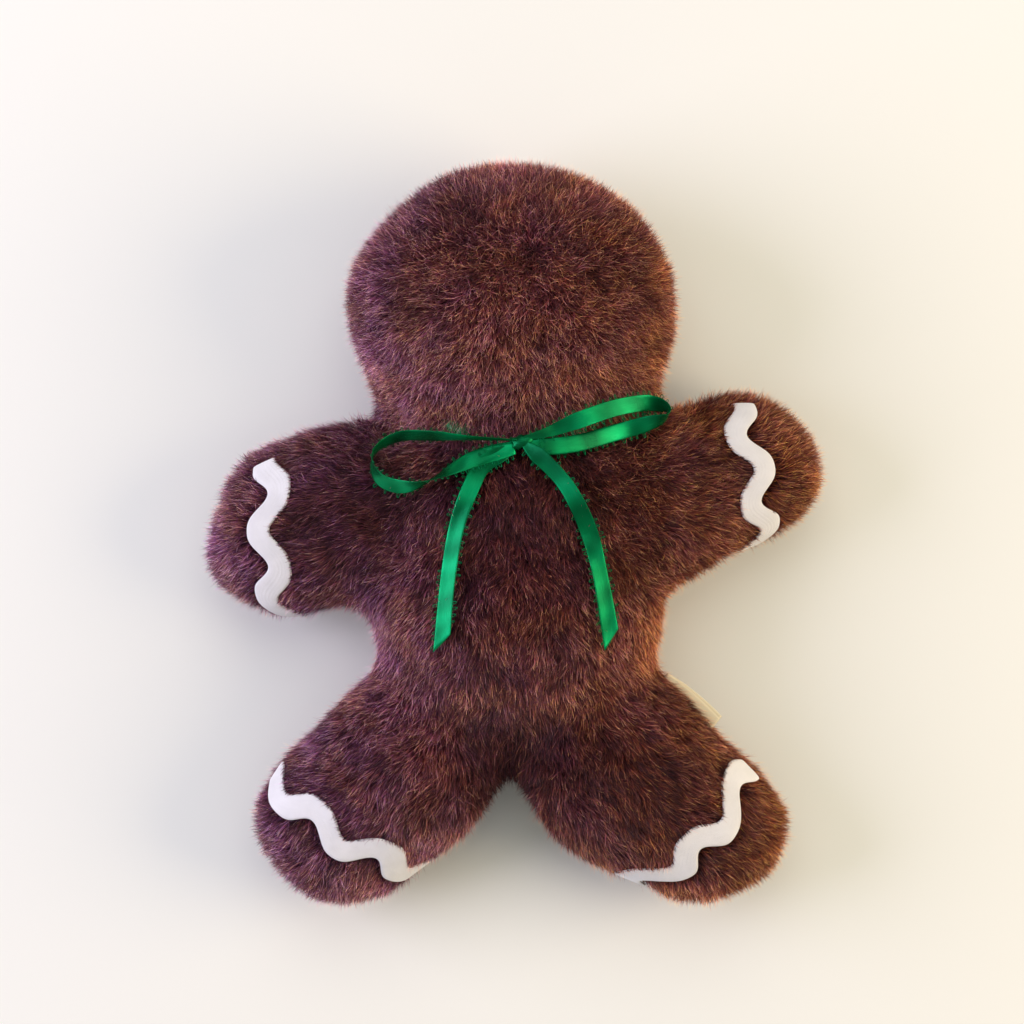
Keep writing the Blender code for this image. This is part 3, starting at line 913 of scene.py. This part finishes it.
def lay_strands(fur, skin, settings, rng):
    """Every fibre of the pile: its root, middle and tip, its skin normal, its tone with the painted light
    and shade, and its width.
    """
    count = settings.strands
    roots, normals = scatter_roots(fur, skin, count, rng)
    flow = flow_over(roots, normals)
    guard = rng.random(count) < GUARD_SHARE
    length = settings.length * rng.uniform(0.70, 1.0, count) * np.where(guard, 1.22, 1.0)

    tufts, tuft_normals = scatter_roots(fur, skin, max(50, count // FIBRES_IN_A_TUFT), rng)
    tuft_flow = flow_over(tufts, tuft_normals)
    swing = rng.normal(size=tufts.shape) * 0.22
    tuft_tips = tufts + unit(tuft_normals * 0.72 + tuft_flow * 0.85 + swing) * settings.length * 0.92
    finder = KDTree(len(tufts))
    for number, place in enumerate(tufts):
        finder.insert(place, number)
    finder.balance()
    owner = np.array([finder.find(place)[1] for place in roots.tolist()])

    combed = np.linalg.norm(flow, axis=1, keepdims=True)
    jitter = rng.normal(size=roots.shape) * np.interp(combed, (0.5, 0.8), (3.0, 1.0))
    jitter *= np.where(guard, 1.5, 0.9)[:, None]
    rise = unit(normals + flow * 0.45 + jitter * 0.14)
    lean = unit(normals * 0.50 + flow * 0.95 + jitter * 0.20 + swing[owner] * 0.5)
    middles = roots + rise * (length * 0.42)[:, None]
    tips = middles + lean * (length * 0.58)[:, None]
    gather = settings.clumping * rng.uniform(0.5, 1.2, count) * np.where(guard, 0.45, 1.0)
    pull = (tuft_tips[owner] - tips) * gather[:, None]
    far = np.linalg.norm(pull, axis=1)
    pull *= np.minimum(1.0, 2.2 * MM / np.maximum(far, 1e-9))[:, None]
    tips += pull
    middles += pull * 0.22
    for part in (middles, tips):
        part[:, 2] = np.maximum(part[:, 2], FIBRE_CLEARANCE)
    tone_with_painted_shading = np.where(guard, rng.normal(0.78, 0.22, count), rng.normal(0.25, 0.14, count))
    # painted shade and light by facing: fibres where the skin faces up are made darker, those round the
    # sides paler
    tone_with_painted_shading += 0.13 - 0.24 * np.clip((normals[:, 2] - 0.5) / 0.45, 0.0, 1.0)
    # painted shade and painted light, place by place
    for x, y, radius, amount in PAINTED_LIGHT_AND_SHADE:
        far = np.hypot(roots[:, 0] / MM - x, roots[:, 1] / MM - y)
        tone_with_painted_shading += amount * np.exp(-(far / radius) ** 2)
    tone_with_painted_shading = np.clip(tone_with_painted_shading + rng.normal(0.0, 0.09, len(tufts))[owner], 0.0, 1.0)
    width = settings.width * rng.uniform(0.7, 1.3, count) * np.where(guard, 0.62, 1.25)
    return roots, middles, tips, normals, tone_with_painted_shading, width


def tree_of(objects):
    """A finder for the surfaces of several pieces."""
    points, faces = [], []
    for thing in objects:
        base = len(points)
        points.extend(corner.co[:] for corner in thing.data.vertices)
        faces.extend([base + number for number in side.vertices] for side in thing.data.polygons)
    return BVHTree.FromPolygons(points, faces)


def crossing(tree, root, middle, tip):
    """Where a fibre first meets a trim, or None."""
    for start, end in ((root, middle), (middle, tip)):
        hit = tree.ray_cast(start, end - start, (end - start).length)[0]
        if hit is not None:
            return hit
    return None


def trim_under(roots, middles, tips, normals, tree, boxes, fringe, rng):
    """Presses the fibres down under a trim, and lifts those beside it over its edge."""
    keep = np.ones(len(roots), bool)
    near = np.zeros(len(roots), bool)
    for low, high in boxes:
        near |= ((roots > low - TRIM_REACH) & (roots < high + TRIM_REACH)).all(1)
    chance = rng.random(len(roots))
    for i in np.nonzero(near)[0]:
        root, middle, tip = Vector(roots[i]), Vector(middles[i]), Vector(tips[i])
        up = Vector(normals[i])
        above = tree.ray_cast(root, up, TRIM_REACH)
        if above[0] is not None:
            room = above[3] - 0.25 * MM
            tall = max((middle - root).dot(up), (tip - root).dot(up))
            if tall > room:
                squeeze = max(room, 0.0) / tall
                for part in (middles, tips):
                    arm = Vector(part[i]) - root
                    rise = arm.dot(up)
                    part[i] = root + arm - up * (rise * (1 - squeeze))
            keep[i] = room > 0.8 * MM
            middle, tip = Vector(middles[i]), Vector(tips[i])
            if crossing(tree, root, middle, tip) is not None:
                keep[i] = False
            elif tree.ray_cast(tip, up, TRIM_REACH)[0] is None and chance[i] > 0.5:
                keep[i] = False
            continue
        hit = crossing(tree, root, middle, tip)
        if hit is None:
            continue
        if chance[i] > fringe:
            keep[i] = False
            continue
        over = hit + up * (0.5 + 0.6 * chance[i]) * MM
        past = tip - root
        past -= up * past.dot(up)
        reach = past.length
        past = past.normalized() if reach > 1e-6 else Vector((0, 0, 0))
        middles[i] = over - past * 0.5 * MM
        tips[i] = over + past * (0.5 + 1.1 * chance[i]) * MM + up * 0.1 * MM
    return keep


def build_pile(name, roots, middles, tips, normals, tone_with_painted_shading, width, material, rng):
    """One patch of pile as a mesh of fine leaf-shaped fibres."""
    count = len(roots)
    ahead = unit(tips - roots)
    flat = unit(np.cross(ahead, normals) + rng.normal(size=roots.shape) * 0.02)
    face = np.cross(flat, ahead)
    twist = rng.uniform(-0.85, 0.85, count)[:, None]
    side = flat * np.cos(twist) + face * np.sin(twist)
    half = width[:, None] / 2
    points = np.stack([roots, middles - side * half, middles + side * half, tips], 1)
    ids = np.arange(count * 4).reshape(-1, 4)
    normal = np.cross(points[:, 1] - points[:, 0], points[:, 2] - points[:, 0])
    outward = (normal * normals).sum(1) > 0
    first = np.where(outward[:, None], ids[:, (0, 1, 2)], ids[:, (0, 2, 1)])
    second = np.where(outward[:, None], ids[:, (3, 2, 1)], ids[:, (3, 1, 2)])
    corners = np.stack([first, second], 1).reshape(-1)
    cells = math.ceil(math.sqrt(count))
    number = np.arange(count)
    cell = np.stack([number % cells, number // cells], -1)
    leaf = np.array(((0.5, 0.04), (0.06, 0.42), (0.94, 0.42), (0.5, 0.96)))
    spots = (cell[:, None] + leaf[None]) / cells
    bake = spots.reshape(-1, 2)[corners]
    mesh = mesh_of(name, points.reshape(-1, 3), corners, 3, bake_map=bake)
    along = mesh.attributes.new("along", "FLOAT", "POINT")
    along.data.foreach_set("value", np.tile(np.array((0.0, 0.42, 0.42, 1.0), np.float32), count))
    fibre_tone_with_painted_shading = mesh.attributes.new("fibre_tone_with_painted_shading", "FLOAT", "POINT")
    fibre_tone_with_painted_shading.data.foreach_set("value", np.repeat(tone_with_painted_shading, 4).astype(np.float32))
    return add_piece(name, mesh, material)


def box_of(thing):
    """The lowest and the highest corner of a piece's box."""
    corners = np.array([corner[:] for corner in thing.bound_box])
    return corners.min(0), corners.max(0)


# The operators


class PLUSH_OT_body(bpy.types.Operator):
    """Make the stuffed body's backing"""

    bl_idname = "plush.body"
    bl_label = "Stuffed body"

    def execute(self, context):
        settings = context.scene.plush.fur
        mesh = smooth_body()
        fur = Fur(mesh)
        skin = fur.points - fur.normals * settings.depth
        skin[:, 2] = np.maximum(skin[:, 2], BACKING_CLEARANCE)
        mesh.vertices.foreach_set("co", skin.astype(np.float32).ravel())
        mesh.update()
        mesh.name = "fur_backing"
        body = add_piece("fur_backing", mesh, backing_material(settings), ["fur_body"])
        return {"FINISHED"}


class PLUSH_OT_braids(bpy.types.Operator):
    """Sew the wavy braids over the arms and legs"""

    bl_idname = "plush.braids"
    bl_label = "Wavy braids"

    def execute(self, context):
        settings = context.scene.plush.braid
        fur = Fur(smooth_body())
        material = braid_material(settings)
        across = cross_steps(BRAID_COLUMNS)
        ribs = (0.5 - 0.5 * np.cos(across * settings.ribs * math.pi)) * 0.12 * MM
        relief = np.broadcast_to(ribs * (np.abs(across) < 0.97), (BRAID_ROWS, BRAID_COLUMNS))
        for limb, path in BRAIDS.items():
            middle = braid_middle(path, settings, fur, BRAID_ROWS, across)
            part = strip(middle, settings.thickness, across, relief)
            add_trim("braid_" + limb, part, material, ["rickrack_" + limb])
        return {"FINISHED"}


class PLUSH_OT_ribbon(bpy.types.Operator):
    """Tie the satin ribbon round the neck in a bow"""

    bl_idname = "plush.ribbon"
    bl_label = "Satin bow"

    def execute(self, context):
        settings = context.scene.plush.ribbon
        fur = Fur(smooth_body())
        material = satin_material(settings)
        across = cross_steps(11)
        grids = [
            ribbon_middle(LEFT_LOOP, 0.0, settings, fur, across, False),
            ribbon_middle(RIGHT_LOOP, 0.0, settings, fur, across, False),
            ribbon_middle(LEFT_TAIL, TAIL_SLANT, settings, fur, across, True),
            ribbon_middle(RIGHT_TAIL, TAIL_SLANT, settings, fur, across, True),
        ]
        lanes = [(k / 5, (k + 1) / 5) for k in range(5)]
        parts = [strip(grid, settings.thickness, across, lane=lane) for grid, lane in zip(grids, lanes)]
        parts.append(knot_part(fur, lanes[4]))
        add_trim("satin_bow", joined(parts), material, ["neck_ribbon"])
        band = strip(neck_middle(settings, fur, across), settings.thickness, across)
        add_trim("neck_band", band, material)
        add_trim("bow_edge_loops", edge_loops(grids, settings), material)
        return {"FINISHED"}


class PLUSH_OT_tag(bpy.types.Operator):
    """Sew the folded blank tag into the hip seam"""

    bl_idname = "plush.tag"
    bl_label = "Cloth tag"

    def execute(self, context):
        settings = context.scene.plush.tag
        low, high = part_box("side_tag")
        start = np.array(TAG_START) * MM
        end = np.array(TAG_END) * MM
        run = unit(end - start)
        out = np.array((-run[1], run[0], 0.0))
        height = (low.z + high.z) / 2
        across = cross_steps(13)
        parts = []
        for number, (lift, reach) in enumerate(((0.45, -1.2), (-0.45, 0.0))):
            grid = np.zeros((41, 13, 3))
            for i, along in enumerate(np.linspace(0.0, 1.0, 41)):
                swell = settings.reach * math.sin(math.pi * min(1.0, along * 0.85)) ** 0.7
                spot = start + (end - start) * along + out * (reach * MM * along**0.5 + swell)
                for j, side in enumerate(across):
                    inwards = (1 - side) / 2 * TAG_WIDTH * MM
                    wave = 0.25 * MM * math.sin(along * 5 + number)
                    grid[i, j] = spot - out * inwards + UP * (height + lift * MM + wave)
            parts.append(strip(grid, 0.35 * MM, across, lane=(number / 2, (number + 1) / 2)))
        add_trim("hip_tag", joined(parts), tag_material(settings), ["side_tag"])
        return {"FINISHED"}


class PLUSH_OT_pile(bpy.types.Operator):
    """Grow the pile on the backing, combed outwards, and trim it round the braids and the bow"""

    bl_idname = "plush.pile"
    bl_label = "Fur pile"

    def execute(self, context):
        settings = context.scene.plush.fur
        rng = np.random.default_rng(7)
        fur = Fur(smooth_body())
        skin = fur.points - fur.normals * settings.depth
        skin[:, 2] = np.maximum(skin[:, 2], BACKING_CLEARANCE)
        roots, middles, tips, normals, tone_with_painted_shading, width = lay_strands(fur, skin, settings, rng)
        braids = [bpy.data.objects["braid_" + limb] for limb in BRAIDS]
        bow = bpy.data.objects["satin_bow"]
        keep = np.ones(len(roots), bool)
        for group, fringe in ((braids, BRAID_FRINGE), ([bow], BOW_FRINGE)):
            boxes = [box_of(thing) for thing in group]
            keep &= trim_under(roots, middles, tips, normals, tree_of(group), boxes, fringe, rng)
        material = fibre_material(settings)
        patch = region_of(roots, normals)
        for number, name in enumerate(PATCHES):
            mine = keep & (patch == number)
            build_pile(
                name, roots[mine], middles[mine], tips[mine], normals[mine], tone_with_painted_shading[mine],
                width[mine], material, rng,
            )
            print(name, int(mine.sum()), "fibres")
        return {"FINISHED"}


class PLUSH_OT_stage(bpy.types.Operator):
    """Set up the floor, the lights and the camera"""

    bl_idname = "plush.stage"
    bl_label = "Stage"

    def execute(self, context):
        settings = context.scene.plush.stage
        shape = bmesh.new()
        bmesh.ops.create_grid(shape, x_segments=1, y_segments=1, size=3.0)
        mesh = bpy.data.meshes.new("floor")
        shape.to_mesh(mesh)
        shape.free()
        floor = bpy.data.objects.new("floor", mesh)
        context.scene.collection.objects.link(floor)
        mesh.materials.append(floor_material(settings))
        for name, place, size, power, colour in (
            ("left_light", (-1.15, 0.1, 0.52), 1.1, 15.6, settings.cool_light),
            ("right_light", (1.15, -0.05, 0.48), 1.0, 13.3, settings.warm_light),
            ("top_light", (0.0, 0.9, 1.2), 1.4, 5.0, (1.0, 0.97, 0.93)),
        ):
            lamp = bpy.data.lights.new(name, "AREA")
            lamp.shape = "DISK"
            lamp.size = size
            lamp.energy = power
            lamp.color = tuple(colour)
            made = bpy.data.objects.new(name, lamp)
            made.location = place
            made.rotation_euler = (Vector((0, 0, 0.02)) - Vector(place)).to_track_quat("-Z", "Y").to_euler()
            context.scene.collection.objects.link(made)
        world = bpy.data.worlds.new("studio")
        world.use_nodes = True
        sky = world.node_tree.nodes["Background"]
        sky.inputs["Color"].default_value = (0.97, 0.98, 0.95, 1.0)
        sky.inputs["Strength"].default_value = 0.35
        context.scene.world = world
        context.scene.view_settings.view_transform = "Standard"
        lens = bpy.data.cameras.new("camera")
        lens.lens = settings.lens
        lens.sensor_width = 36.0
        lens.clip_start = 0.01
        camera = bpy.data.objects.new("camera", lens)
        camera.location = (*CAMERA_SHIFT, settings.camera_height)
        context.scene.collection.objects.link(camera)
        context.scene.camera = camera
        return {"FINISHED"}


class PLUSH_PT_panel(bpy.types.Panel):
    """The plush gingerbread man's pieces"""

    bl_label = "Plush gingerbread man"
    bl_idname = "PLUSH_PT_panel"
    bl_space_type = "VIEW_3D"
    bl_region_type = "UI"
    bl_category = "Plush"

    def draw(self, context):
        for operator in OPERATORS:
            self.layout.operator(operator.bl_idname)
        for group in ("fur", "braid", "ribbon", "tag", "stage"):
            settings = getattr(context.scene.plush, group)
            box = self.layout.box()
            box.label(text=group.capitalize())
            for name in settings.__annotations__:
                box.prop(settings, name)


OPERATORS = (
    PLUSH_OT_body, PLUSH_OT_braids, PLUSH_OT_ribbon, PLUSH_OT_tag, PLUSH_OT_pile, PLUSH_OT_stage,
)
CLASSES = (
    PlushFurSettings, PlushBraidSettings, PlushRibbonSettings, PlushTagSettings, PlushStageSettings,
    PlushSettings, *OPERATORS, PLUSH_PT_panel,
)


def register():
    for made in CLASSES:
        bpy.utils.register_class(made)
    bpy.types.Scene.plush = PointerProperty(type=PlushSettings)


def unregister():
    del bpy.types.Scene.plush
    for made in reversed(CLASSES):
        bpy.utils.unregister_class(made)


def main():
    register()
    for operator in OPERATORS:
        group, name = operator.bl_idname.split(".")
        getattr(getattr(bpy.ops, group), name)()


if __name__ == "__main__":
    main()
